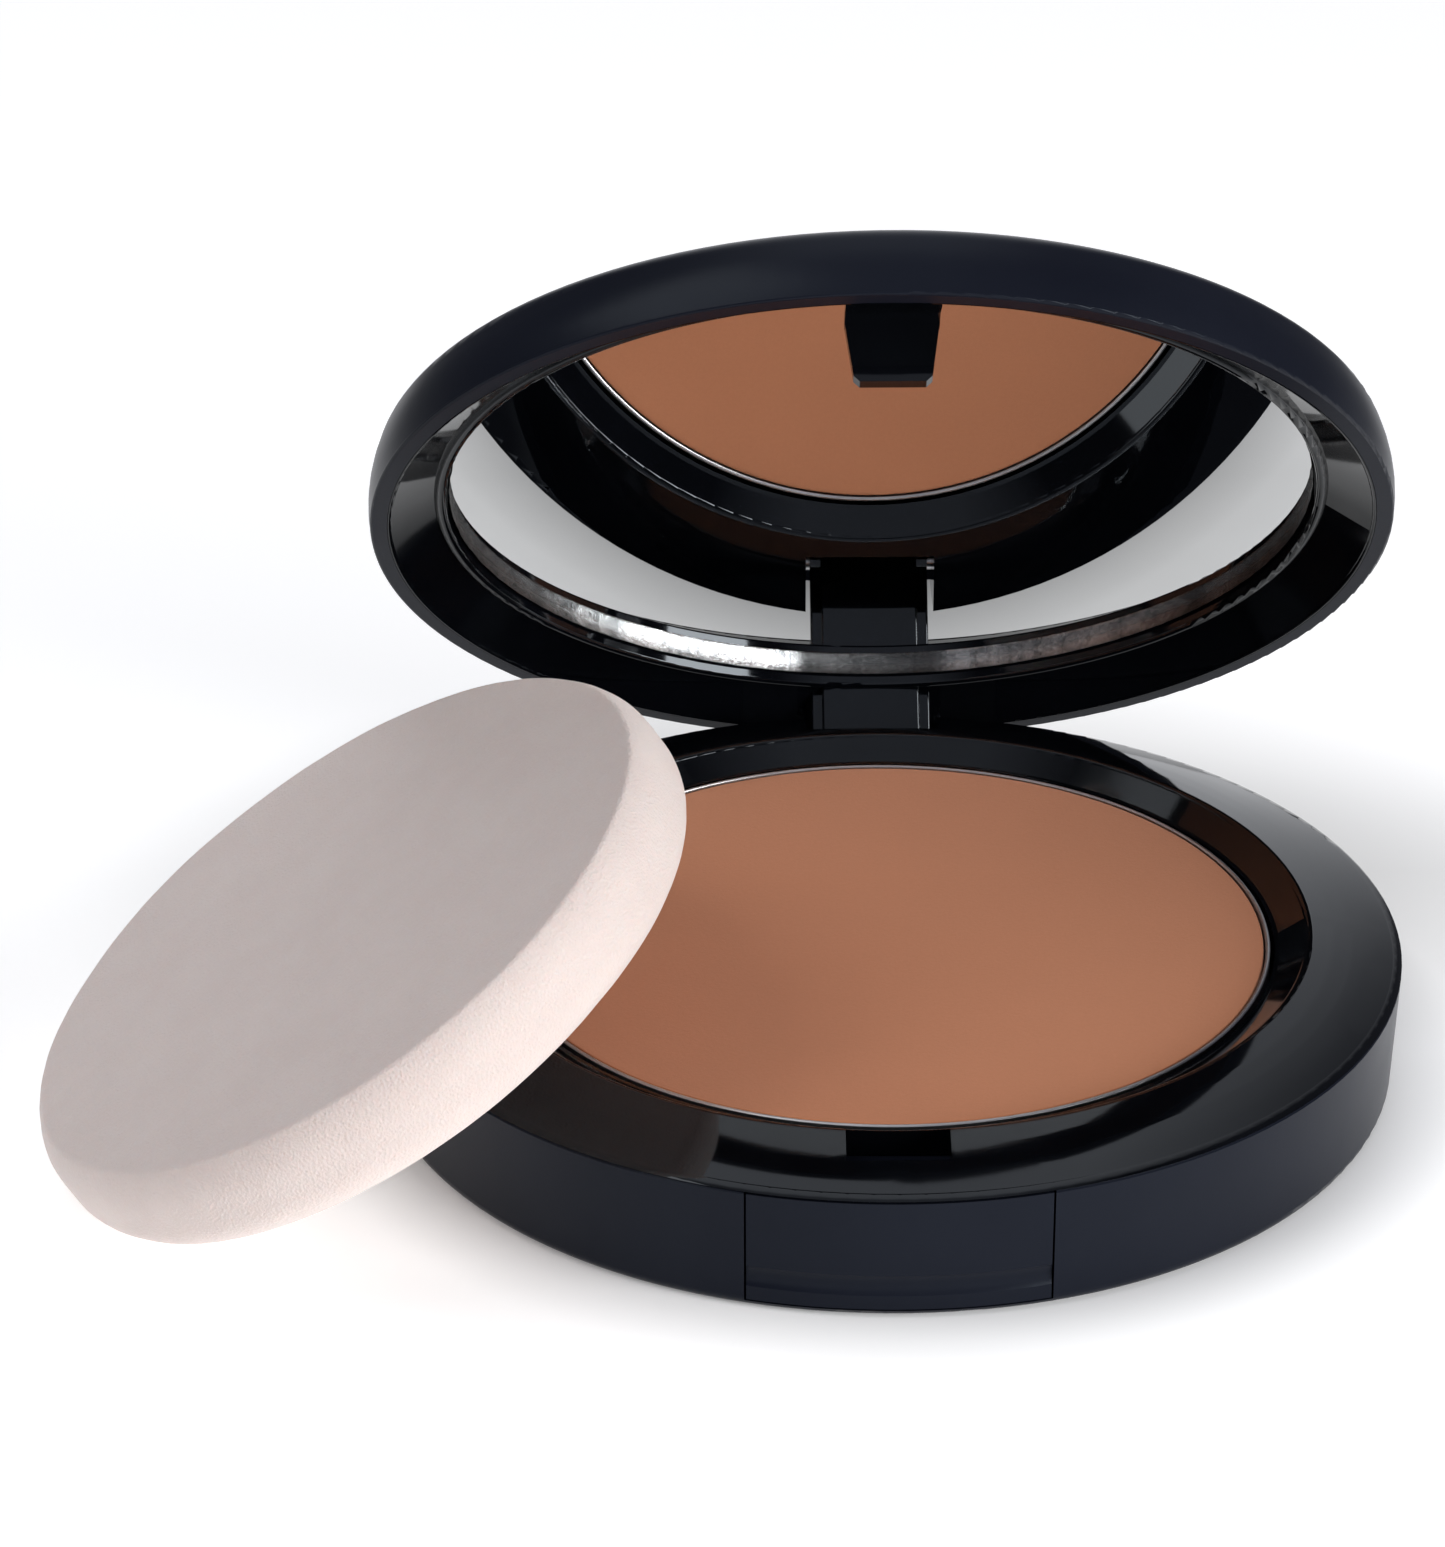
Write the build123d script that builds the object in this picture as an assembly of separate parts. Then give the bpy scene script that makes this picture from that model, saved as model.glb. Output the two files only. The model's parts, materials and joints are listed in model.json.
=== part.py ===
from build123d import *
import os
from math import cos, radians, sin, sqrt

# Powder compact, standing open on a table, with its foam sponge leaning on the rim.
# Millimetres and degrees. The origin is the centre of the base's underside, +Z is up,
# the hinge is at the back (+Y) and the push button at the front (-Y).

# Base
BASE_R = 39.5             # outer radius at the top of the wall
FOOT_R = 39.0             # outer radius at the table, before the rounded edge
SEAM_Z = 9.8              # top of the satin wall, where the glossy ring begins
CREST_R = 32.7            # the ring's flange slopes down and outwards from its crest
TOP_Z = 11.7              # crest of the flange
EDGE_Z = 10.2             # outer edge of the flange
WALL = 1.5
FLOOR = 1.3
FOOT_EDGE = 1.0           # rounding where the wall meets the table
SEAM_EDGE = 0.12          # small chamfer on each side of the seam
LABEL_R = 25.0
LABEL_T = 0.15
LABEL_CLEAR = 0.1
CREST_FALL = 0.2          # how far the inner bevel's top lies below the crest
CREST_IN = 0.55           # and how far inside it
CREST_MID = (0.3, 0.03)   # a point of the crest's rounding: inside and below the crest
SLOPE_MID = (2.7, 0.58)   # a point of the flange's slope: outside and below the crest
SHOULDER_IN = 0.7         # where the flange's slope turns down to its edge
SHOULDER_MID = (0.2, 0.16)
SEAT_GAP = 0.1            # clearance between the ring's skirt and the shell

# Pan and powder
PAN_R = 29.5
PAN_WALL = 0.35
PAN_RIM_Z = 10.35
PAN_FLOOR_Z = 5.6
PAN_BEND = 0.9            # outside radius where the pan's wall turns into its floor
PAN_LIP = 0.1             # height of the rolled rim
CAKE_EDGE = 0.15
GLUE_R = 14.0
GLUE_T = 0.3
POWDER_TOP_Z = 10.25
WELL_R = 29.85            # inner wall of the ring's well
WELL_WALL = 0.7
WELL_FLOOR = 1.0
LEDGE_R = 30.2            # outer edge of the ledge round the pan
LEDGE_Z = 10.2
LEDGE_RISE = 0.05         # the ledge rises this much to its outer edge
RING_UNDER_Z = 9.1        # underside of the flange
POST_R = 2.0              # posts that stand the well on the shell's floor
POST_AT = 20.0
POST_COUNT = 4

# Hinge
HINGE_Y = 36.3
HINGE_Z = 4.0
PIN_R = 0.8
PIN_CLEAR = 0.05          # radial running clearance
PIN_LENGTH = 16.4
PIN_CHAMFER = 0.2
TONGUE_W = 9.9
TONGUE_RIB_W = 8.1        # the middle of the tongue stands proud of its two sides
TONGUE_R = 2.05
TONGUE_STEP = 0.5         # how far the rib stands proud
TONGUE_BACK = 1.6         # back of the arm, behind the pin
TONGUE_ROOT = 2.4         # how far the arm runs into the lid, above the rim plane
ARM_ROUND = 0.2
BLOCK_W = 18.9
BLOCK_Z = 1.6             # underside of the hinge block
BLOCK_INSET = 0.03        # the block lies this far inside the wall's outside
BLOCK_CLEAR = 0.05
BLOCK_LAP = 1.0           # how far the block reaches in front of the recess
NOTCH_LAP = 1.1
NOTCH_DROP = 0.1
RECESS_W = 10.7
RECESS_Y = 34.0           # front wall of the recess that the tongue turns in
REST_OPEN = 49.4          # how far the lid stands open

# Lid, drawn closed and then turned open
RIM_Z = 10.7              # the lid's rim plane when closed
LID_R = 39.75
LID_H = 6.6
LID_DOME = 0.5            # rise of the lid's slightly domed outside
CROWN_R = 3.0             # flat at the middle of the dome
LID_WALL = 1.3
LID_ROUND = 2.4           # how far in from the wall the domed roof ends
LID_RIM = ((-0.35, 0.0), (-0.18, 0.06), (-0.12, 0.25))    # rounded rim: offsets in R and Z
LID_SIDE = ((0.0, 2.4), (-0.45, 4.6), (-0.98, 5.55))      # wall and its turn into the roof
WALL_TOP_H = 3.8          # where the inside of the wall starts to lean in
SHELL_GAP = 0.15
FRAME_GAP = 0.2
ROOF_R = 36.9             # where the inside of the lid shell turns from roof to wall
ROOF_H = 5.5              # inside of the roof above the rim plane
DISH_R = 38.05            # outer edge of the sloping dish wall
DISH_EDGE = ((-0.1, 0.2), (0.02, 0.05), (0.12, 0.0))      # rounding of the dish's edge
BEAD = ((0.0, 2.55), (0.4, 2.25), (0.8, 2.5))             # the bead, from LIP_R outwards
FRAME_RIM_H = 1.5         # height of the frame's outer rim
FRAME_RIM_W = 0.75
FRAME_RIM_FALL = 0.1
CONE_FOOT = (0.3, 3.2)    # where the back of the dish meets the mirror's cup
LIP_R = 33.8              # inside of the bead that holds the mirror
MIRROR_R = 33.65
MIRROR_DEPTH = 3.0        # glass face below the lid's rim plane
GLASS_T = 1.6
GLASS_BEVEL = 0.25
SILVER_T = 0.1
SILVER_INSET = 0.2
MIRROR_PAD_T = 0.3
MIRROR_PAD_R = 30.0

# Catch
TAB_W = 6.9
TAB_TIP_W = 5.7
TAB_FRONT_Y = -33.3
TAB_T = 1.0
TAB_LENGTH = 3.7
TAB_CORNER = 0.45
TAB_ROOT = 0.1            # how far the tab runs into its platform
PLATFORM_Z = 1.0          # platform's underside at the tab, above the rim plane
PLATFORM_T = 1.1
PLATFORM_SLOPE = 1.5      # depth of the platform's sloped part
PLATFORM_INSET = 0.3      # its front edge, inside the dish's edge
NOSE = 0.35
NOSE_SIDE = (0.35, 0.75, 0.8)   # heights above the tab's tip: nose's corners, then its root
SLOT_W = 7.5
SLOT_FRONT_Y = -35.6
SLOT_BACK_Y = -31.4
SLOT_DEPTH = 2.4          # below the flange's underside

# Push button
PANEL_W = 21.8
PANEL_GAP = 0.15
PANEL_T = 1.5
PANEL_BOTTOM_Z = 0.75
PANEL_INSET = 0.05        # the panel lies this far inside the wall's outside
PANEL_TOP_GAP = 0.1
ROOM_CLEAR = 0.3          # left behind the panel at the end of its travel
GROOVE_R = 1.6            # finger groove low on the panel
GROOVE_Z = 2.7
GROOVE_DEPTH = 0.3
BUTTON_TRAVEL = 0.6
ARM_X = 5.1
ARM_W = 1.4
ARM_TOP_Z = 8.9
ARM_T = 1.5
BAR_H = 0.85
CATCH_GAP = 0.1           # between the bar and the nose
GUIDE_X = 6.0             # inner face of the guide beside each arm
GUIDE_T = 1.0
GUIDE_H = 2.0             # how far a guide reaches below the arm's top
GUIDE_FRONT_Y = -36.4
GUIDE_BACK_Y = -32.3
ARM_FRONT_Y = -37.5
ARM_REACH = 0.6           # how far the arms' bar runs on past the nose
STOP_X = 8.0              # inner face of the stop behind each end of the spring
STOP_W = 1.2
STOP_DROP = 0.4           # how far a stop reaches below the spring
SPRING_T = 0.2
SPRING_H = 3.0
SPRING_Z = 2.4
SPRING_END_X = 8.8
SPRING_END_Y = -34.3
SPRING_CROWN_Y = -37.3

# Sponge
SPONGE_R = 27.5
SPONGE_T = 8.6
SPONGE_EDGE = 3.2
SPONGE_BELLY = 2.3        # how far its underside bulges at the middle
SPONGE_TILT = 32.2
SPONGE_HEADING = 186.5    # compass direction, from +X, that the sponge's face leans towards
SPONGE_SINK = 0.2         # how much of its lower edge the sponge's weight has flattened
SPONGE_X = -39.3
SPONGE_Y = -14.9

BEYOND = 50.0             # past anything that a cut has to clear sideways
ABOVE = 20.0              # and upwards


def turned(start, *steps):
    """Revolve a closed outline of (radius, height) points about Z.

    A step is a point to draw a line to, or a pair (through, end) for an arc."""
    edges = []
    here = start
    for step in list(steps) + [start]:
        if isinstance(step[0], tuple):
            through, end = step
            edges.append(ThreePointArc(*[(r, 0, z) for r, z in (here, through, end)]))
            here = end
        elif step != here:
            edges.append(Line((here[0], 0, here[1]), (step[0], 0, step[1])))
            here = step
    return revolve(make_face(edges), Axis.Z)


def block(x0, x1, y0, y1, z0, z1):
    """A box between two corners."""
    size = (x1 - x0, y1 - y0, z1 - z0)
    return Pos((x0 + x1) / 2, (y0 + y1) / 2, (z0 + z1) / 2) * Box(*size)


def across(points, width):
    """A prism of an outline of (y, z) points, as wide as stated and centred on x = 0."""
    outline = Polyline(*[(0, y, z) for y, z in points], close=True)
    return extrude(make_face(outline), amount=width / 2, dir=(1, 0, 0), both=True)


def rod(radius, length, y, z):
    """A round bar along X, centred on x = 0."""
    return Pos(0, y, z) * Rot(Y=90) * Cylinder(radius, length)


def wall_r(z):
    """Outer radius of the tapered base wall at a height."""
    return FOOT_R + (BASE_R - FOOT_R) * z / SEAM_Z


def wall_cone(inset, z0, z1):
    """The solid inside of the tapered base wall, moved in by inset."""
    return turned((0, z0), (wall_r(z0) - inset, z0), (wall_r(z1) - inset, z1), (0, z1))


def opened(part):
    """Turn a piece of the lid from closed to where the lid stands at rest."""
    return Pos(0, HINGE_Y, HINGE_Z) * Rot(X=-REST_OPEN) * Pos(0, -HINGE_Y, -HINGE_Z) * part


# ---------------------------------------------------------------- base
def base_shell():
    edge_mid = FOOT_EDGE * (1 - sqrt(0.5))
    shell = turned(
        (0, LABEL_T),
        (LABEL_R + LABEL_CLEAR, LABEL_T),
        (LABEL_R + LABEL_CLEAR, 0),
        (FOOT_R - FOOT_EDGE, 0),
        ((FOOT_R - edge_mid, edge_mid), (wall_r(FOOT_EDGE), FOOT_EDGE)),
        (wall_r(SEAM_Z - SEAM_EDGE), SEAM_Z - SEAM_EDGE),
        (BASE_R - SEAM_EDGE, SEAM_Z),
        (BASE_R - WALL, SEAM_Z),
        (wall_r(FLOOR) - WALL, FLOOR),
        (0, FLOOR),
    )
    shell -= panel_room(PANEL_BOTTOM_Z - PANEL_GAP, ABOVE)
    notch = BLOCK_W / 2 + BLOCK_CLEAR
    shell -= block(-notch, notch, RECESS_Y - NOTCH_LAP, BEYOND, BLOCK_Z - NOTCH_DROP, ABOVE)
    return shell


def panel_room(z0, z1):
    """The room behind the front window that the push button's panel moves in."""
    half = PANEL_W / 2 + PANEL_GAP
    behind = PANEL_T + BUTTON_TRAVEL + ROOM_CLEAR
    return block(-half, half, -BEYOND, -WELL_R, z0, z1) - wall_cone(behind, 0, ABOVE)


def base_ring():
    well_floor_z = PAN_FLOOR_Z - GLUE_T
    well_out = WELL_R + WELL_WALL
    ring = turned(
        (WELL_R, well_floor_z),
        (WELL_R, LEDGE_Z),
        (LEDGE_R, LEDGE_Z + LEDGE_RISE),
        (CREST_R - CREST_IN, TOP_Z - CREST_FALL),
        ((CREST_R - CREST_MID[0], TOP_Z - CREST_MID[1]), (CREST_R, TOP_Z)),
        ((CREST_R + SLOPE_MID[0], TOP_Z - SLOPE_MID[1]), (BASE_R - SHOULDER_IN, EDGE_Z)),
        ((BASE_R - SHOULDER_MID[0], EDGE_Z - SHOULDER_MID[1]), (BASE_R, SEAM_Z + SEAM_EDGE)),
        (BASE_R - SEAM_EDGE, SEAM_Z),
        (BASE_R - WALL - SEAT_GAP, SEAM_Z),
        (BASE_R - WALL - SEAT_GAP, RING_UNDER_Z),
        (well_out, RING_UNDER_Z),
        (well_out, well_floor_z - WELL_FLOOR),
        (0, well_floor_z - WELL_FLOOR),
        (0, well_floor_z),
    )
    ring -= panel_room(FLOOR, SEAM_Z)
    # posts that stand the well on the shell's floor
    post_h = well_floor_z - WELL_FLOOR - FLOOR
    for place in PolarLocations(POST_AT, POST_COUNT, start_angle=180 / POST_COUNT):
        ring += place * Pos(0, 0, FLOOR + post_h / 2) * Cylinder(POST_R, post_h)
    # guides beside the button's arms, and the two stops that the spring's ends bear on
    for side in (-1, 1):
        guide = sorted((side * GUIDE_X, side * (GUIDE_X + GUIDE_T)))
        stop = sorted((side * STOP_X, side * (STOP_X + STOP_W)))
        guide_foot = ARM_TOP_Z - GUIDE_H
        stop_foot = SPRING_Z - STOP_DROP
        ring += block(*guide, GUIDE_FRONT_Y, GUIDE_BACK_Y, guide_foot, RING_UNDER_Z)
        ring += block(*stop, SPRING_END_Y, SPRING_END_Y + STOP_W, stop_foot, RING_UNDER_Z)
    # hinge block, flush with the wall behind, and the recess for the lid's tongue
    half = BLOCK_W / 2
    hinge_block = block(-half, half, RECESS_Y - BLOCK_LAP, BEYOND, BLOCK_Z, SEAM_Z)
    ring += hinge_block & wall_cone(BLOCK_INSET, BLOCK_Z, SEAM_Z)
    recess = RECESS_W / 2
    ring -= block(-recess, recess, RECESS_Y, BEYOND, 0, ABOVE)
    ring -= rod(PIN_R + PIN_CLEAR, BLOCK_W + 2 * BLOCK_LAP, HINGE_Y, HINGE_Z)
    slot_foot = RING_UNDER_Z - SLOT_DEPTH
    ring -= block(-SLOT_W / 2, SLOT_W / 2, SLOT_FRONT_Y, SLOT_BACK_Y, slot_foot, ABOVE)
    return ring


def pan_adhesive():
    return Pos(0, 0, PAN_FLOOR_Z - GLUE_T / 2) * Cylinder(GLUE_R, GLUE_T)


def powder_pan():
    sag = PAN_BEND * (1 - sqrt(0.5))
    inner = PAN_R - PAN_WALL
    floor_top = PAN_FLOOR_Z + PAN_WALL
    return turned(
        (0, PAN_FLOOR_Z),
        (PAN_R - PAN_BEND, PAN_FLOOR_Z),
        ((PAN_R - sag, PAN_FLOOR_Z + sag), (PAN_R, PAN_FLOOR_Z + PAN_BEND)),
        (PAN_R, PAN_RIM_Z - PAN_LIP),
        ((PAN_R - PAN_WALL / 2, PAN_RIM_Z), (inner, PAN_RIM_Z - PAN_LIP)),
        (inner, floor_top),
        (0, floor_top),
    )


def powder_cake():
    radius = PAN_R - PAN_WALL
    return turned(
        (0, PAN_FLOOR_Z + PAN_WALL),
        (radius, PAN_FLOOR_Z + PAN_WALL),
        (radius, POWDER_TOP_Z - CAKE_EDGE),
        (radius - CAKE_EDGE * 2, POWDER_TOP_Z),
        (0, POWDER_TOP_Z),
    )


def base_label():
    return Pos(0, 0, LABEL_T / 2) * Cylinder(LABEL_R, LABEL_T)


# ---------------------------------------------------------------- push button
def push_button():
    top = SEAM_Z - PANEL_TOP_GAP
    panel = turned(
        (wall_r(PANEL_BOTTOM_Z) - PANEL_INSET, PANEL_BOTTOM_Z),
        (wall_r(top) - PANEL_INSET, top),
        (wall_r(top) - PANEL_T, top),
        (wall_r(PANEL_BOTTOM_Z) - PANEL_T, PANEL_BOTTOM_Z),
    )
    panel &= block(-PANEL_W / 2, PANEL_W / 2, -BEYOND, -WELL_R, 0, ABOVE)
    groove_at = wall_r(GROOVE_Z) + GROOVE_R - GROOVE_DEPTH
    panel -= Pos(0, 0, GROOVE_Z) * Torus(groove_at, GROOVE_R)
    bar_front = TAB_FRONT_Y + TAB_T + NOSE + CATCH_GAP
    bar_back = bar_front + ARM_REACH
    for side in (-1, 1):
        arm = sorted((side * (ARM_X - ARM_W / 2), side * (ARM_X + ARM_W / 2)))
        panel += block(*arm, ARM_FRONT_Y, bar_back, ARM_TOP_Z - ARM_T, ARM_TOP_Z)
    panel += block(-ARM_X, ARM_X, bar_front, bar_back, ARM_TOP_Z - BAR_H, ARM_TOP_Z)
    return panel


def button_spring():
    """Leaf spring: a bowed strip whose middle bears on the panel and whose ends bear on the stops."""
    x, y = SPRING_END_X, SPRING_END_Y - SPRING_T
    crown = SPRING_CROWN_Y
    front = ThreePointArc((-x, y, 0), (0, crown, 0), (x, y, 0))
    back = ThreePointArc((x, y + SPRING_T, 0), (0, crown + SPRING_T, 0), (-x, y + SPRING_T, 0))
    ends = [Line(front @ 1, back @ 0), Line(back @ 1, front @ 0)]
    return Pos(0, 0, SPRING_Z) * extrude(make_face([front, back] + ends), amount=SPRING_H)


# ---------------------------------------------------------------- hinge pin
def hinge_pin():
    pin = rod(PIN_R, PIN_LENGTH, HINGE_Y, HINGE_Z)
    return chamfer(pin.edges().filter_by(GeomType.CIRCLE), PIN_CHAMFER)


# ---------------------------------------------------------------- lid
def beside(radius, *offsets):
    """Points of (radius, height) from offsets to a radius and to the closed lid's rim plane."""
    return [(radius + dr, RIM_Z + dz) for dr, dz in offsets]


def lid_shell():
    inner = LID_R - LID_WALL - SHELL_GAP
    roof = RIM_Z + ROOF_H
    top = RIM_Z + LID_H
    dome_r = LID_R - LID_ROUND
    # the dome is a shallow cap of a sphere round a small flat crown
    sphere_r = (dome_r**2 + LID_DOME**2) / (2 * LID_DOME)
    cap = [(r, top - sphere_r + sqrt(sphere_r**2 - r**2)) for r in ((dome_r + CROWN_R) / 2, CROWN_R)]
    rim, rim_mid, rim_end = beside(LID_R, *LID_RIM)
    side_mid, side_end, turn_mid = beside(LID_R, *LID_SIDE)
    return turned(
        (inner, RIM_Z),
        rim,
        (rim_mid, rim_end),
        (side_mid, side_end),
        (turn_mid, (dome_r, top - LID_DOME)),
        (cap[0], cap[1]),
        (0, cap[1][1]),
        (0, roof),
        (ROOF_R, roof),
        (inner, RIM_Z + WALL_TOP_H),
    )


def lid_frame():
    outer = LID_R - LID_WALL - FRAME_GAP
    bead, bead_mid, bead_end = beside(LIP_R, *BEAD)
    dish, dish_mid, dish_end = beside(DISH_R, *DISH_EDGE)
    seat = RIM_Z + MIRROR_DEPTH + GLASS_T + SILVER_T + MIRROR_PAD_T
    frame = turned(
        (0, seat),
        (LIP_R, seat),
        bead,
        (bead_mid, bead_end),
        dish,
        (dish_mid, dish_end),
        (outer, RIM_Z),
        (outer, RIM_Z + FRAME_RIM_H),
        (outer - FRAME_RIM_W, RIM_Z + FRAME_RIM_H + FRAME_RIM_FALL),
        (LIP_R + WALL + CONE_FOOT[0], RIM_Z + CONE_FOOT[1]),
        (LIP_R + WALL, RIM_Z + ROOF_H),
        (0, RIM_Z + ROOF_H),
    )
    frame += hinge_tongue()
    frame += catch_tab()
    return frame


def softened(arm):
    """Round the two upright edges at the front of a piece of the hinge arm."""
    return fillet(arm.edges().filter_by(Axis.Z).sort_by(Axis.Y)[:2], ARM_ROUND)


def hinge_tongue():
    """Knuckle round the pin and the arm that carries it, with a wide rib on its front face."""
    root = RIM_Z + TONGUE_ROOT
    tongue = rod(TONGUE_R, TONGUE_W, HINGE_Y, HINGE_Z)
    front = HINGE_Y - TONGUE_R
    side_front = front + TONGUE_STEP
    back = HINGE_Y + TONGUE_BACK
    arm_side = [(side_front, HINGE_Z), (back, HINGE_Z), (back, root), (side_front, root)]
    tongue += softened(across(arm_side, TONGUE_W))
    rib_side = [(front, HINGE_Z), (side_front, HINGE_Z), (side_front, root), (front, root)]
    tongue += softened(across(rib_side, TONGUE_RIB_W))
    return tongue - rod(PIN_R + PIN_CLEAR, TONGUE_W + 2, HINGE_Y, HINGE_Z)


def catch_tab():
    """Platform on the lid's front rim, the tapered tab that stands on it, and the tab's nose."""
    back = TAB_FRONT_Y + TAB_T
    foot = RIM_Z + PLATFORM_Z
    tip = RIM_Z - TAB_LENGTH
    corner = TAB_CORNER
    half, tip_half = TAB_W / 2, TAB_TIP_W / 2
    front_view = Polyline(
        (-half, 0, foot + TAB_ROOT),
        (-tip_half, 0, tip + corner),
        (-tip_half + corner, 0, tip),
        (tip_half - corner, 0, tip),
        (tip_half, 0, tip + corner),
        (half, 0, foot + TAB_ROOT),
        close=True,
    )
    tab = Pos(0, TAB_FRONT_Y, 0) * extrude(make_face(front_view), amount=TAB_T, dir=(0, 1, 0))
    nose_half = tip_half - corner
    nose_tip = back + NOSE
    low, high, root = [tip + rise for rise in NOSE_SIDE]
    nose_side = [(back, tip), (nose_tip, low), (nose_tip, high), (back, root)]
    nose = across(nose_side, 2 * nose_half)
    outer = PLATFORM_INSET - DISH_R
    middle = TAB_FRONT_Y - PLATFORM_SLOPE
    roof = foot + PLATFORM_T
    platform_side = [(outer, RIM_Z), (middle, foot), (back, foot), (back, roof), (outer, roof)]
    return tab + nose + across(platform_side, TAB_W)


def mirror_glass():
    face_z = RIM_Z + MIRROR_DEPTH
    return turned(
        (0, face_z),
        (MIRROR_R - GLASS_BEVEL, face_z),
        (MIRROR_R, face_z + GLASS_BEVEL),
        (MIRROR_R, face_z + GLASS_T),
        (0, face_z + GLASS_T),
    )


def mirror_silver():
    z = RIM_Z + MIRROR_DEPTH + GLASS_T + SILVER_T / 2
    return Pos(0, 0, z) * Cylinder(MIRROR_R - SILVER_INSET, SILVER_T)


def mirror_pad():
    z = RIM_Z + MIRROR_DEPTH + GLASS_T + SILVER_T + MIRROR_PAD_T / 2
    return Pos(0, 0, z) * Cylinder(MIRROR_PAD_R, MIRROR_PAD_T)


# ---------------------------------------------------------------- sponge
def sponge():
    """Foam disc standing on its rounded lower edge and leaning on the base's rim."""
    core = SPONGE_R - SPONGE_EDGE
    half = SPONGE_T / 2
    bulge = half - SPONGE_EDGE
    corner = SPONGE_EDGE * sqrt(0.5)
    # the underside is a shallow cap of a sphere, level where it meets the axis
    sphere_r = (core**2 + SPONGE_BELLY**2) / (2 * SPONGE_BELLY)
    mid_r = core / 2
    mid_z = -half - SPONGE_BELLY + sphere_r - sqrt(sphere_r**2 - mid_r**2)
    disc = turned(
        (0, -half - SPONGE_BELLY),
        ((mid_r, mid_z), (core, -half)),
        ((core + corner, -bulge - corner), (SPONGE_R, -bulge)),
        (SPONGE_R, bulge),
        ((core + corner, bulge + corner), (core, half)),
        (0, half),
    )
    tilt = radians(SPONGE_TILT)
    centre_z = core * sin(tilt) + bulge * cos(tilt) + SPONGE_EDGE - SPONGE_SINK
    leaning = Pos(SPONGE_X, SPONGE_Y, centre_z) * Rot(Z=SPONGE_HEADING) * Rot(Y=SPONGE_TILT) * disc
    reach = 2 * BEYOND
    return leaning & block(-reach, reach, -reach, reach, 0, reach)


NODES = {
    "base_shell": base_shell(),
    "base_ring": base_ring(),
    "pan_adhesive": pan_adhesive(),
    "powder_pan": powder_pan(),
    "powder_cake": powder_cake(),
    "base_label": base_label(),
    "push_button": push_button(),
    "button_spring": button_spring(),
    "hinge_pin": hinge_pin(),
    "lid_shell": opened(lid_shell()),
    "lid_frame": opened(lid_frame()),
    "mirror_pad": opened(mirror_pad()),
    "mirror_silver": opened(mirror_silver()),
    "mirror_glass": opened(mirror_glass()),
    "sponge": sponge(),
}

os.makedirs("parts", exist_ok=True)
for name, solid in NODES.items():
    export_step(solid, f"parts/{name}.step")
    print(name, round(solid.volume, 1))
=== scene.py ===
import json
from math import cos, radians, sin, sqrt, tau

import bpy
from mathutils import Matrix, Vector, noise


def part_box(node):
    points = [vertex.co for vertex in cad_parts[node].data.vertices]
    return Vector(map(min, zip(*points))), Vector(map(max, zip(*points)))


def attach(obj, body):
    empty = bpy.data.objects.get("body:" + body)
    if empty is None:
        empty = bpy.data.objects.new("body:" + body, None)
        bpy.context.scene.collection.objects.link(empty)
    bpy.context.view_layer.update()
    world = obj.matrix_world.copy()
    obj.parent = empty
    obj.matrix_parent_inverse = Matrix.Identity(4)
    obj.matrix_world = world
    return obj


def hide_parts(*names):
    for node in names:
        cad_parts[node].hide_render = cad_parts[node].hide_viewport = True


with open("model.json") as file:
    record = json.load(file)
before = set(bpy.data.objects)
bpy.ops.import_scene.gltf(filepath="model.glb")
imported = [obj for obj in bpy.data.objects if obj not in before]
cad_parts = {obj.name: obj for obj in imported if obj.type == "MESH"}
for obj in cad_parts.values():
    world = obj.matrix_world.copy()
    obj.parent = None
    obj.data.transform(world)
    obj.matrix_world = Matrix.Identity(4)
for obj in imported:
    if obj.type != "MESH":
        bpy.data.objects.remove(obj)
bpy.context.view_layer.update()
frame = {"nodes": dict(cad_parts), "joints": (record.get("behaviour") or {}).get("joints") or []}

# Metres. The frame is the CAD model's: +Z up, hinge at the back (+Y), button at the front.
MM = 0.001
LID_CLOSE = next(j for j in frame["joints"] if j["name"] == "lid_close")
REST_OPEN = radians(-LID_CLOSE["range_deg"][0])
LID_TURN = Matrix.Rotation(-REST_OPEN, 4, "X")

# Powder: a softened rim and a faintly uneven face
POWDER_EDGE = 0.3 * MM
POWDER_SWELL = 0.02 * MM
POWDER_SINK = 0.01 * MM
POWDER_WAVES = 140
POWDER_RINGS, POWDER_AROUND = 70, 256

# Mirror: how deep its silver seems to lie under the glass, and the chipped bevel round the glass
SILVER_DEPTH = 0.95 * MM
SILVER_LAP = 0.25 * MM
GLASS_BEVEL = 0.15 * MM
BEVEL_MID, BEVEL_TOP = 0.4, 0.8
CHIP = 0.07 * MM
CHIP_WAVES, CHIP_FINER, CHIP_FINE_SHARE = 30, 3.1, 0.6
MIRROR_RINGS, MIRROR_AROUND = 24, 360

# Ground edge of the mirror: painted highlights and painted shade, as brightness from its left end (0)
# to its right end (1)
EDGE_SPAN = 34 * MM
EDGE_PAINTED_LIGHT = (
    (0.10, 0.20),
    (0.28, 0.90),
    (0.40, 1.00),
    (0.42, 0.14),
    (0.575, 0.14),
    (0.60, 0.50),
    (0.76, 0.60),
    (0.88, 0.15),
)

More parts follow.
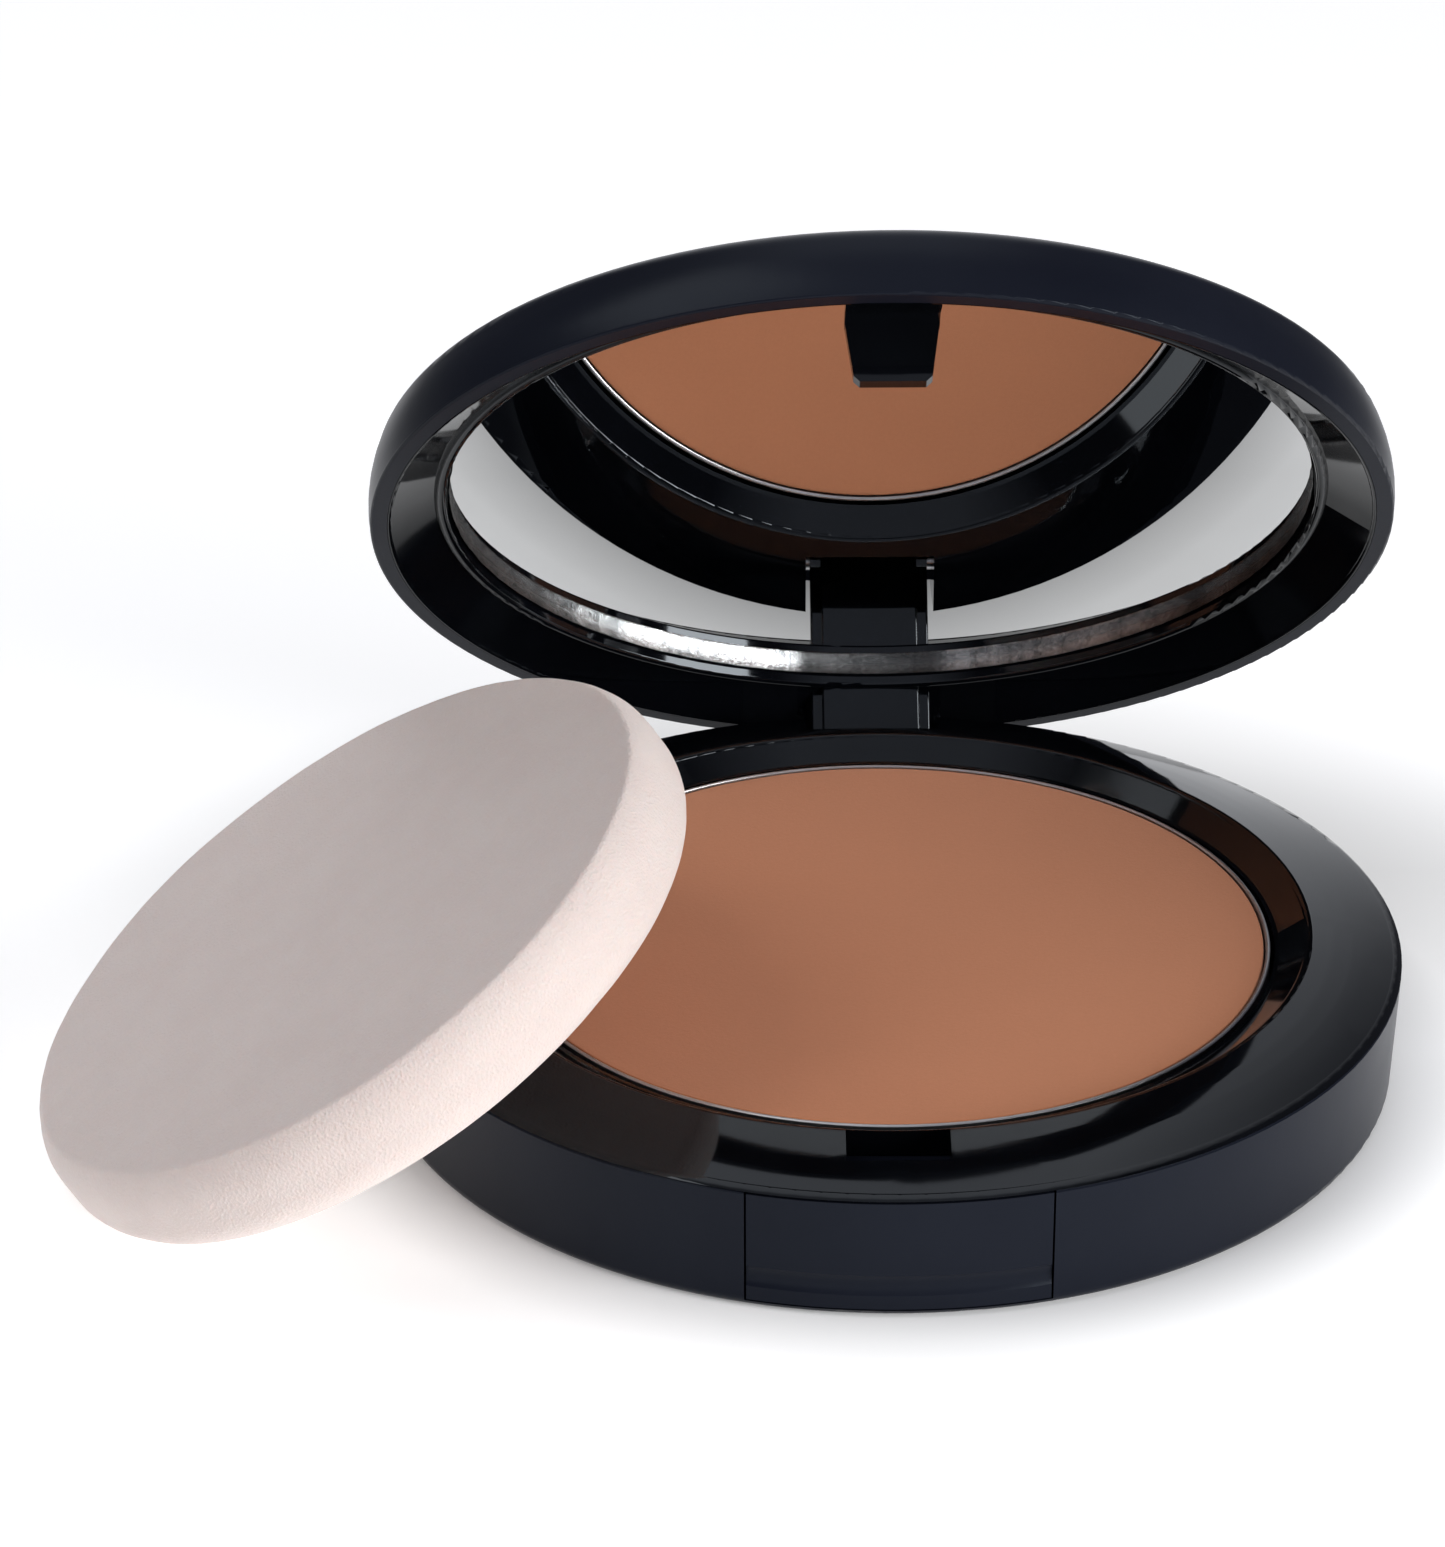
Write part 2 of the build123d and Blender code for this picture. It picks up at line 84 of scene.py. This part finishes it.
# Sponge: it stays within the CAD's disc, which has a rounded edge and leans on the base's rim
SPONGE_R = 27.5 * MM
SPONGE_T = 8.6 * MM
SPONGE_EDGE = 3.2 * MM
SPONGE_BELLY = 2.3 * MM
CREASE_R = 26.2 * MM           # crease between its upper face and its bulging side
CREASE_Z = 3.74 * MM
CREASE_ROUND = 0.32 * MM
CREASE_OUT, CREASE_DOWN = 0.6, 0.7
FACE_CROWN = 0.35 * MM
SIDE_PULL = (27.45 * MM, 2.3 * MM)
SIDE_END_Z = 0.6 * MM
SPONGE_RINGS, SPONGE_AROUND = 40, 320
CREASE_STEPS, SIDE_STEPS, EDGE_STEPS = 6, 14, 16
SPONGE_INSET = 0.12 * MM       # how far the skin lies inside the disc: less at the middle
INSET_MIDDLE, INSET_RIM = 0.3, 0.9
SKIN_STEEPNESS = 3
SKIN_RIPPLES = ((90, 0.10 * MM), (420, 0.035 * MM))
SPONGE_TILT = radians(32.2)
SPONGE_HEADING = radians(186.5)
SPONGE_AT = Vector((-39.3, -14.9, 16.88)) * MM

# Floor: a white paper strip that widens backwards. It has a painted glow from beyond the base
# outwards, painted shade close behind the base, and painted shade to either side in place of black
# flags.
FLOOR_REACH = 3.0
STRIP_X = -12.4 * MM
GLOW = 0.44
GLOW_START, GLOW_FULL = 0.034, 0.046
NEAR, FAR = 0.045, 0.075
BACK_START, BACK_FULL = 0.0, 0.03
STRIP_SPREAD = 0.13
STRIP_FADE, STRIP_END = 0.066, 0.15
# Paper brightness off the strip, close behind the base and elsewhere: the first two are painted shade.
ALBEDO_SIDE_SHADE, ALBEDO_NEAR_SHADE, ALBEDO_FAR = 0.40, 0.24, 0.84
PAPER_MOTTLE = 0.02

# Surroundings by direction: dimmer upwards, towards the camera's side and to left and right.
# The three are multiplied.
WHITE, BLACK = (1.0, 1.0, 1.0), (0.0, 0.0, 0.0)
BY_HEIGHT = (
    (0.0, (0.96, 0.97, 1.0)),
    (0.45, (0.79, 0.81, 0.86)),
    (0.85, (0.74, 0.75, 0.79)),
)
BY_DEPTH = ((0.0, (0.40, 0.40, 0.42)), (0.25, WHITE))
BY_SIDE = ((0.2, WHITE), (0.42, (0.08, 0.08, 0.09)))
SURROUND_STRENGTH = 1.45

# Softboxes: name, place, size and power in watts
LIGHT_AIM = Vector((0, 0, 0.02))
SOFTBOXES = (
    ("fill_left", Vector((-0.45, -0.12, 0.6)), (0.5, 0.5), 2.0),
    ("key_right", Vector((0.62, -0.47, 0.23)), (0.5, 0.3), 6.3),
)

# Camera: a long lens in front of the object, looking down at it
SENSOR = 36.0
LENS = 127.25
TARGET = Vector((-12.4, 0, 24.14)) * MM
ELEVATION = radians(26.29)
DISTANCE = 0.4139
ROLL = radians(-0.29)


# ---------------------------------------------------------------- node helpers
def set_stops(ramp, stops):
    """Give a colour ramp node its (position, colour) stops."""
    elements = ramp.color_ramp.elements
    while len(elements) < len(stops):
        elements.new(0.5)
    for element, (position, colour) in zip(elements, stops):
        element.position = position
        element.color = (*colour, 1.0)


class Shader:
    """A material's node tree with short ways to add and link nodes."""

    def __init__(self, name):
        self.material = bpy.data.materials.new(name)
        self.material.use_nodes = True
        tree = self.material.node_tree
        self.nodes, self.links = tree.nodes, tree.links
        self.surface = next(n for n in self.nodes if n.type == "BSDF_PRINCIPLED")
        self.place = self.add("ShaderNodeTexCoord").outputs["Object"]

    def add(self, kind, **settings):
        node = self.nodes.new(kind)
        for key, value in settings.items():
            setattr(node, key, value)
        return node

    def set(self, **values):
        """Constant inputs of the Principled shader, by name with _ for space."""
        for key, value in values.items():
            self.surface.inputs[key.replace("_", " ")].default_value = value

    def noise(self, per_m, detail=3.0, rough=0.5, stretch=None):
        node = self.add("ShaderNodeTexNoise")
        node.inputs["Scale"].default_value = per_m
        node.inputs["Detail"].default_value = detail
        node.inputs["Roughness"].default_value = rough
        source = self.place
        if stretch:
            mapping = self.add("ShaderNodeMapping")
            mapping.inputs["Scale"].default_value = stretch
            self.links.new(source, mapping.inputs["Vector"])
            source = mapping.outputs["Vector"]
        self.links.new(source, node.inputs["Vector"])
        return node.outputs["Fac"]

    def axes(self):
        """The place split into its X, Y and Z."""
        split = self.add("ShaderNodeSeparateXYZ")
        self.links.new(self.place, split.inputs["Vector"])
        return split.outputs

    def spread(self, value, low, high, start=0.0, end=1.0):
        """Map a value from start..end to low..high."""
        node = self.add("ShaderNodeMapRange")
        node.inputs["From Min"].default_value = start
        node.inputs["From Max"].default_value = end
        node.inputs["To Min"].default_value = low
        node.inputs["To Max"].default_value = high
        self.links.new(value, node.inputs["Value"])
        return node.outputs["Result"]

    def math(self, operation, first, second=None):
        node = self.add("ShaderNodeMath", operation=operation)
        for socket, value in zip(node.inputs, (first, second)):
            if isinstance(value, (int, float)):
                socket.default_value = value
            elif value is not None:
                self.links.new(value, socket)
        return node.outputs["Value"]

    def ramp(self, value, *stops):
        node = self.add("ShaderNodeValToRGB")
        set_stops(node, stops)
        self.links.new(value, node.inputs["Fac"])
        return node.outputs["Color"]

    def colour(self, output):
        self.links.new(output, self.surface.inputs["Base Color"])

    def two_tone(self, value, dark, light, start=0.3, end=0.7):
        """A base colour that runs from dark to light as the value runs from start to end."""
        self.colour(self.ramp(value, (start, dark), (end, light)))

    def roughness(self, output):
        self.links.new(output, self.surface.inputs["Roughness"])

    def bump(self, *layers):
        """Bump from (height output, depth in metres) layers, coarse first."""
        normal = None
        for height, depth in layers:
            node = self.add("ShaderNodeBump")
            node.inputs["Distance"].default_value = depth
            self.links.new(height, node.inputs["Height"])
            if normal is not None:
                self.links.new(normal, node.inputs["Normal"])
            normal = node.outputs["Normal"]
        self.links.new(normal, self.surface.inputs["Normal"])


# ---------------------------------------------------------------- materials
def satin_black():
    s = Shader("satin_black")
    mottle = s.noise(per_m=60, detail=4)
    grain = s.noise(per_m=5200, detail=2)
    wear = s.noise(per_m=140, detail=5)
    s.two_tone(mottle, dark=(0.0062, 0.0074, 0.0128), light=(0.0088, 0.0104, 0.0172))
    s.roughness(s.spread(wear, low=0.27, high=0.34))
    s.set(Specular_IOR_Level=0.115, Specular_Tint=(0.80, 0.90, 1.0, 1.0), IOR=1.5)
    s.bump((grain, 0.004 * MM))
    return s.material


def gloss_black():
    s = Shader("gloss_black")
    haze = s.noise(per_m=90, detail=5, rough=0.6)
    dark, light = (0.0010, 0.0012, 0.0018), (0.0020, 0.0024, 0.0036)
    s.two_tone(haze, dark, light, start=0.35, end=0.75)
    s.roughness(s.spread(haze, low=0.035, high=0.075, start=0.3, end=0.8))
    s.set(IOR=1.42, Specular_Tint=(0.86, 0.93, 1.0, 1.0))
    s.bump((s.noise(per_m=35, detail=1), 0.01 * MM))
    return s.material


def pan_metal():
    s = Shader("pan_aluminium")
    rings = s.noise(per_m=900, detail=3, stretch=(0.15, 0.15, 6.0))
    s.two_tone(rings, dark=(0.44, 0.435, 0.44), light=(0.56, 0.555, 0.56))
    s.roughness(s.spread(rings, low=0.3, high=0.42))
    s.set(Metallic=1.0)
    s.bump((rings, 0.006 * MM))
    return s.material


def steel(name):
    s = Shader(name)
    drawn = s.noise(per_m=1500, detail=3, stretch=(0.05, 1.0, 1.0))
    s.two_tone(drawn, dark=(0.42, 0.42, 0.43), light=(0.6, 0.6, 0.61))
    s.roughness(s.spread(drawn, low=0.25, high=0.42))
    s.set(Metallic=1.0)
    s.bump((drawn, 0.004 * MM))
    return s.material


def blank_label():
    s = Shader("blank_label")
    fibre = s.noise(per_m=2500, detail=4)
    s.two_tone(fibre, dark=(0.022, 0.022, 0.025), light=(0.035, 0.035, 0.038))
    s.roughness(s.spread(fibre, low=0.5, high=0.62))
    s.bump((fibre, 0.01 * MM))
    return s.material


def glue_pad():
    s = Shader("glue_pad")
    cells = s.noise(per_m=2200, detail=3)
    s.two_tone(cells, dark=(0.5, 0.49, 0.45), light=(0.68, 0.67, 0.62))
    s.roughness(s.spread(cells, low=0.7, high=0.85))
    s.bump((cells, 0.03 * MM))
    return s.material


def pressed_powder():
    s = Shader("pressed_powder")
    grain = s.noise(per_m=9000, detail=3, rough=0.65)
    speck = s.noise(per_m=3200, detail=4, rough=0.7)
    cloud = s.noise(per_m=55, detail=3)
    tone = s.math("ADD", s.spread(cloud, low=0.30, high=0.50), s.spread(speck, low=0.0, high=0.28))
    s.two_tone(tone, (0.485, 0.190, 0.091), (0.595, 0.242, 0.123), start=0.25, end=0.8)
    s.roughness(s.spread(grain, low=0.78, high=0.92))
    s.set(Specular_IOR_Level=0.22, Sheen_Weight=0.12, Sheen_Roughness=0.5)
    s.bump((cloud, 0.03 * MM), (speck, 0.018 * MM), (grain, 0.012 * MM))
    return s.material


def mirror_face():
    s = Shader("mirror_face")
    film = s.noise(per_m=45, detail=4)
    s.two_tone(film, dark=(0.86, 0.87, 0.875), light=(0.90, 0.91, 0.915))
    s.roughness(s.spread(film, low=0.0, high=0.012, start=0.35, end=0.8))
    s.set(Metallic=1.0)
    return s.material


def ground_glass():
    """Chipped glass, with painted highlights and painted shade along its length."""
    s = Shader("ground_glass")
    chips = s.noise(per_m=2600, detail=5, rough=0.75)
    runs = s.noise(per_m=300, detail=4, rough=0.6)
    mix = s.math("ADD", s.spread(chips, low=0.0, high=0.5), s.spread(runs, low=0.0, high=0.6))
    dull, grey, bright = (0.16, 0.17, 0.18), (0.55, 0.57, 0.58), (0.97, 0.98, 0.99)
    glint = s.ramp(mix, (0.35, dull), (0.5, grey), (0.62, bright))
    along = s.spread(s.axes()["X"], low=0.0, high=1.0, start=-EDGE_SPAN, end=EDGE_SPAN)
    # Painted highlights and painted shade: a ramp over X makes the edge brighter or darker along its
    # length.
    painted_light_along = s.ramp(along, *[(at, (level, level, level)) for at, level in EDGE_PAINTED_LIGHT])
    shaded = s.add("ShaderNodeVectorMath", operation="MULTIPLY")
    s.links.new(glint, shaded.inputs[0])
    s.links.new(painted_light_along, shaded.inputs[1])
    s.colour(shaded.outputs["Vector"])
    s.roughness(s.spread(chips, low=0.08, high=0.34))
    s.set(Metallic=0.85)
    s.bump((runs, 0.16 * MM), (chips, 0.07 * MM))
    return s.material


def foam():
    s = Shader("latex_foam")
    pores = s.add("ShaderNodeTexVoronoi", feature="F1")
    pores.inputs["Scale"].default_value = 4200
    s.links.new(s.place, pores.inputs["Vector"])
    cells = pores.outputs["Distance"]
    nap = s.noise(per_m=5200, detail=3, rough=0.7)
    mottle = s.noise(per_m=170, detail=5, rough=0.6)
    tone = s.math("ADD", s.spread(mottle, low=0.2, high=0.6), s.spread(nap, low=0.0, high=0.25))
    s.two_tone(tone, (0.70, 0.585, 0.545), (0.80, 0.70, 0.655), start=0.25, end=0.75)
    s.roughness(s.spread(nap, low=0.85, high=0.98))
    s.set(Specular_IOR_Level=0.15, Sheen_Weight=0.25, Sheen_Roughness=0.6)
    s.set(Subsurface_Weight=0.25, Subsurface_Radius=(1.0, 0.55, 0.42), Subsurface_Scale=1.2 * MM)
    s.bump((mottle, 0.13 * MM), (cells, 0.05 * MM), (nap, 0.06 * MM))
    return s.material


def pale_floor():
    """Matt white paper that glows a little away from the object (painted light, as on a light table),
    with painted shade.
    """
    s = Shader("pale_floor")
    tint = s.noise(per_m=3, detail=2)
    s.roughness(s.spread(tint, low=0.75, high=0.85))
    s.set(Specular_IOR_Level=0.03, Emission_Color=(1.0, 1.0, 1.0, 1.0))
    length = s.add("ShaderNodeVectorMath", operation="LENGTH")
    s.links.new(s.place, length.inputs[0])
    away = length.outputs["Value"]
    axes = s.axes()
    beside = s.math("ABSOLUTE", s.math("SUBTRACT", axes["X"], STRIP_X))
    behind = s.math("MAXIMUM", axes["Y"], 0.0)
    beside = s.math("SUBTRACT", beside, s.math("MULTIPLY", behind, STRIP_SPREAD))
    # Painted light: the floor glows from beyond the base outwards, on the strip only, though it is no
    # lamp.
    painted_glow = s.spread(away, low=0.0, high=GLOW, start=GLOW_START, end=GLOW_FULL)
    strip = s.spread(beside, low=1.0, high=0.0, start=STRIP_FADE, end=STRIP_END)
    s.links.new(s.math("MULTIPLY", painted_glow, strip), s.surface.inputs["Emission Strength"])
    # Painted shade: the paper is made darker close behind the base, where the mirror shows it.
    near = s.spread(away, low=1.0, high=0.0, start=NEAR, end=FAR)
    back = s.spread(axes["Y"], low=0.0, high=1.0, start=BACK_START, end=BACK_FULL)
    paper_and_painted_shade = s.spread(s.math("MULTIPLY", near, back), low=ALBEDO_FAR, high=ALBEDO_NEAR_SHADE)
    # Painted shade to either side of the strip, in place of black flags.
    paper_and_painted_shade = s.math("MINIMUM", paper_and_painted_shade, s.spread(strip, low=ALBEDO_SIDE_SHADE, high=ALBEDO_FAR))
    shade = s.math("ADD", paper_and_painted_shade, s.spread(tint, low=0.0, high=PAPER_MOTTLE))
    s.two_tone(shade, BLACK, WHITE, start=0.0, end=1.0)
    return s.material


# ---------------------------------------------------------------- mesh helpers
def new_piece(name, vertices, faces, material, smooth=True):
    mesh = bpy.data.meshes.new(name)
    mesh.from_pydata([tuple(v) for v in vertices], [], faces)
    mesh.materials.append(material)
    if smooth:
        mesh.polygons.foreach_set("use_smooth", [True] * len(mesh.polygons))
    mesh.update()
    piece = bpy.data.objects.new(name, mesh)
    bpy.context.scene.collection.objects.link(piece)
    return piece


def lathe(outline, around, pole_start=True, pole_end=True):
    """Turn (radius, height) points about Z. Points on the axis at either end become poles."""
    vertices, faces, rows = [], [], []
    for index, (radius, height) in enumerate(outline):
        at_pole = (index == 0 and pole_start) or (index == len(outline) - 1 and pole_end)
        count = 1 if at_pole else around
        rows.append([len(vertices) + k for k in range(count)])
        for k in range(count):
            angle = tau * k / around
            vertices.append(Vector((radius * cos(angle), radius * sin(angle), height)))
    for lower, upper in zip(rows, rows[1:]):
        for k in range(around):
            n = (k + 1) % around
            if len(lower) == 1:
                faces.append((lower[0], upper[n], upper[k]))
            elif len(upper) == 1:
                faces.append((lower[k], lower[n], upper[0]))
            else:
                faces.append((lower[k], lower[n], upper[n], upper[k]))
    return vertices, faces


def flipped(faces):
    """Faces of an outline that runs from the top down, turned to look outwards."""
    return [face[::-1] for face in faces]


def arc(centre, radius, start, end, steps):
    """Points of (radius, height) on an arc, in degrees."""
    points = []
    for k in range(steps + 1):
        angle = radians(start + (end - start) * k / steps)
        points.append((centre[0] + radius * cos(angle), centre[1] + radius * sin(angle)))
    return points


def bend(start, pull, end, steps):
    """Points of (radius, height) on a curve from start, which is left out, to end by way of pull."""
    points = []
    for k in range(1, steps + 1):
        t = k / steps
        shares = ((1 - t) ** 2, 2 * t * (1 - t), t * t)
        points.append(tuple(sum(w * p[i] for w, p in zip(shares, (start, pull, end))) for i in (0, 1)))
    return points


# ---------------------------------------------------------------- pieces
def make_powder(material):
    low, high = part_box("powder_cake")
    radius = (high.x - low.x) / 2
    flat = radius - POWDER_EDGE
    bottom = low.z + POWDER_EDGE
    outline = [(0, high.z)]
    outline += [(flat * k / POWDER_RINGS, high.z) for k in range(1, POWDER_RINGS)]
    outline += arc((flat, high.z - POWDER_EDGE / 2), POWDER_EDGE / 2, 90, 0, 5)
    outline += [(radius - POWDER_EDGE / 2, bottom), (0, bottom)]
    vertices, faces = lathe(outline, POWDER_AROUND)
    top = high.z - POWDER_EDGE / 4
    for v in vertices:
        if v.z > top:
            swell = noise.noise(v * POWDER_WAVES) * POWDER_SWELL
            v.z += min(0.0, swell - POWDER_SINK)
    piece = new_piece("powder_surface", vertices, flipped(faces), material)
    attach(piece, "base")
    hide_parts("powder_cake")


def mirror_place():
    """The mirror glass's centre, radius and thickness, read from the tilted CAD disc's box."""
    low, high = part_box("mirror_glass")
    radius = (high.x - low.x) / 2
    thickness = ((high.y - low.y) - 2 * radius * cos(REST_OPEN)) / sin(REST_OPEN)
    return (low + high) / 2, radius, thickness


def make_mirror(face_material, edge_material):
    """The glass as the eye sees it: the silvered face stands at the glass's apparent depth,
    and its ground edge shows round it as an inner wall with small chips."""
    centre, radius, thickness = mirror_place()
    place = Matrix.Translation(centre) @ LID_TURN
    front = -thickness / 2
    silver = front + SILVER_DEPTH

    outline = [(0, silver)]
    outline += [(radius * k / MIRROR_RINGS, silver) for k in range(1, MIRROR_RINGS + 1)]
    vertices, faces = lathe(outline, MIRROR_AROUND, pole_end=False)
    face = new_piece("mirror_face", [place @ v for v in vertices], faces, face_material)

    outline = [(radius, silver + SILVER_LAP), (radius, silver), (radius, front + GLASS_BEVEL)]
    outline.append((radius - GLASS_BEVEL * BEVEL_MID, front + GLASS_BEVEL * BEVEL_MID))
    outline.append((radius - GLASS_BEVEL * BEVEL_TOP, front))
    vertices, faces = lathe(outline, MIRROR_AROUND, pole_start=False, pole_end=False)
    for index, v in enumerate(vertices[-MIRROR_AROUND:]):
        angle = tau * index / MIRROR_AROUND
        at = Vector((cos(angle), sin(angle), 0)) * CHIP_WAVES
        chip = (noise.noise(at) + CHIP_FINE_SHARE * noise.noise(at * CHIP_FINER)) * CHIP
        v.xy *= 1 + chip / radius
    edge = new_piece("mirror_ground_edge", [place @ v for v in vertices], faces, edge_material)

    for piece, slot_name in ((face, "mirror_silver"), (edge, "mirror_glass")):
        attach(piece, "lid")
    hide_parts("mirror_glass")


def sponge_outline():
    """Foam disc from the top down: crowned face, crease, bulging side, soft edge, belly."""
    core = SPONGE_R - SPONGE_EDGE
    half = SPONGE_T / 2
    face_r = CREASE_R - CREASE_ROUND
    side_r = CREASE_R + CREASE_ROUND * CREASE_OUT
    side_start = (side_r, CREASE_Z - CREASE_ROUND * CREASE_DOWN)
    upper = []
    for k in range(SPONGE_RINGS + 1):
        share = k / SPONGE_RINGS
        upper.append((face_r * share, CREASE_Z + FACE_CROWN * (1 - share ** 2)))
    upper += bend(upper[-1], (CREASE_R, CREASE_Z), side_start, CREASE_STEPS)
    upper += bend(side_start, SIDE_PULL, (SPONGE_R, SIDE_END_Z), SIDE_STEPS)
    lower = arc((core, SPONGE_EDGE - half), SPONGE_EDGE, 0, -90, EDGE_STEPS)
    lower += [(core * k / SPONGE_RINGS, -half) for k in range(SPONGE_RINGS - 1, -1, -1)]
    lower = [(r, z - SPONGE_BELLY * max(0.0, 1 - (r / core) ** 2)) for r, z in lower]
    return upper + lower


def make_sponge(material):
    vertices, faces = lathe(sponge_outline(), SPONGE_AROUND)
    turn = Matrix.Rotation(SPONGE_HEADING, 4, "Z") @ Matrix.Rotation(SPONGE_TILT, 4, "Y")
    place = Matrix.Translation(SPONGE_AT) @ turn
    shaped = []
    for v in vertices:
        away = sqrt(v.x * v.x + v.y * v.y) / SPONGE_R
        dip = SPONGE_INSET * (INSET_MIDDLE + INSET_RIM * away * away)
        ripple = sum(noise.noise(v * waves) * depth for waves, depth in SKIN_RIPPLES)
        direction = Vector((v.x, v.y, v.z * SKIN_STEEPNESS)).normalized()
        p = place @ (v - direction * (dip - ripple))
        p.z = max(p.z, 0.0)
        shaped.append(p)
    piece = new_piece("sponge_foam", shaped, flipped(faces), material)
    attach(piece, "sponge")
    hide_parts("sponge")


def paint_cad_nodes(silver):
    """Give every CAD node its material. Nodes that a piece replaces keep theirs."""
    satin, gloss, glue = satin_black(), gloss_black(), glue_pad()
    looks = {
        "base_shell": satin,
        "push_button": satin,
        "lid_shell": satin,
        "base_ring": gloss,
        "lid_frame": gloss,
        "powder_pan": pan_metal(),
        "pan_adhesive": glue,
        "mirror_pad": glue,
        "base_label": blank_label(),
        "button_spring": steel("spring_steel"),
        "hinge_pin": steel("pin_steel"),
        "mirror_silver": silver,
    }
    for node, material in looks.items():
        for slot in frame["nodes"][node].material_slots:
            slot.material = material


# ---------------------------------------------------------------- stage
def make_floor():
    reach = FLOOR_REACH
    corners = [(-reach, -reach, 0), (reach, -reach, 0), (reach, reach, 0), (-reach, reach, 0)]
    floor = new_piece("floor", corners, [(0, 1, 2, 3)], pale_floor(), smooth=False)


def make_world():
    """A bright band of backdrop behind the object. It dims upwards and towards the camera's
    side, and is dark to the left and right."""
    world = bpy.data.worlds.new("studio")
    bpy.context.scene.world = world
    world.use_nodes = True
    nodes, links = world.node_tree.nodes, world.node_tree.links
    split = nodes.new("ShaderNodeSeparateXYZ")
    links.new(nodes.new("ShaderNodeTexCoord").outputs["Generated"], split.inputs["Vector"])
    beside = nodes.new("ShaderNodeMath")
    beside.operation = "ABSOLUTE"
    links.new(split.outputs["X"], beside.inputs[0])
    bands = []
    for source, stops in (
        (split.outputs["Z"], BY_HEIGHT),
        (split.outputs["Y"], BY_DEPTH),
        (beside.outputs["Value"], BY_SIDE),
    ):
        ramp = nodes.new("ShaderNodeValToRGB")
        set_stops(ramp, stops)
        links.new(source, ramp.inputs["Fac"])
        bands.append(ramp.outputs["Color"])
    colour = bands[0]
    for band in bands[1:]:
        blend = nodes.new("ShaderNodeVectorMath")
        blend.operation = "MULTIPLY"
        links.new(colour, blend.inputs[0])
        links.new(band, blend.inputs[1])
        colour = blend.outputs["Vector"]
    links.new(colour, nodes["Background"].inputs["Color"])
    nodes["Background"].inputs["Strength"].default_value = SURROUND_STRENGTH


def make_softbox(name, place, size, power):
    light = bpy.data.lights.new(name, "AREA")
    light.shape = "RECTANGLE"
    light.size, light.size_y = size
    light.energy = power
    lamp = bpy.data.objects.new(name, light)
    bpy.context.scene.collection.objects.link(lamp)
    lamp.location = place
    lamp.rotation_euler = (LIGHT_AIM - place).to_track_quat("-Z", "Y").to_euler()


def make_camera():
    camera = bpy.data.objects.new("camera", bpy.data.cameras.new("camera"))
    bpy.context.scene.collection.objects.link(camera)
    camera.data.sensor_fit = "AUTO"
    camera.data.sensor_width = SENSOR
    camera.data.lens = LENS
    back = Vector((0, -cos(ELEVATION), sin(ELEVATION)))
    right = Vector((1, 0, 0))
    up = back.cross(right)
    right_rolled = right * cos(ROLL) + up * sin(ROLL)
    up_rolled = up * cos(ROLL) - right * sin(ROLL)
    turn = Matrix((right_rolled, up_rolled, back)).transposed().to_4x4()
    camera.matrix_world = Matrix.Translation(TARGET + back * DISTANCE) @ turn
    bpy.context.scene.camera = camera


silver_material = mirror_face()
paint_cad_nodes(silver_material)
make_powder(pressed_powder())
make_mirror(silver_material, ground_glass())
make_sponge(foam())
make_floor()
make_world()
for softbox in SOFTBOXES:
    make_softbox(*softbox)
make_camera()
bpy.context.scene.view_settings.view_transform = "Standard"
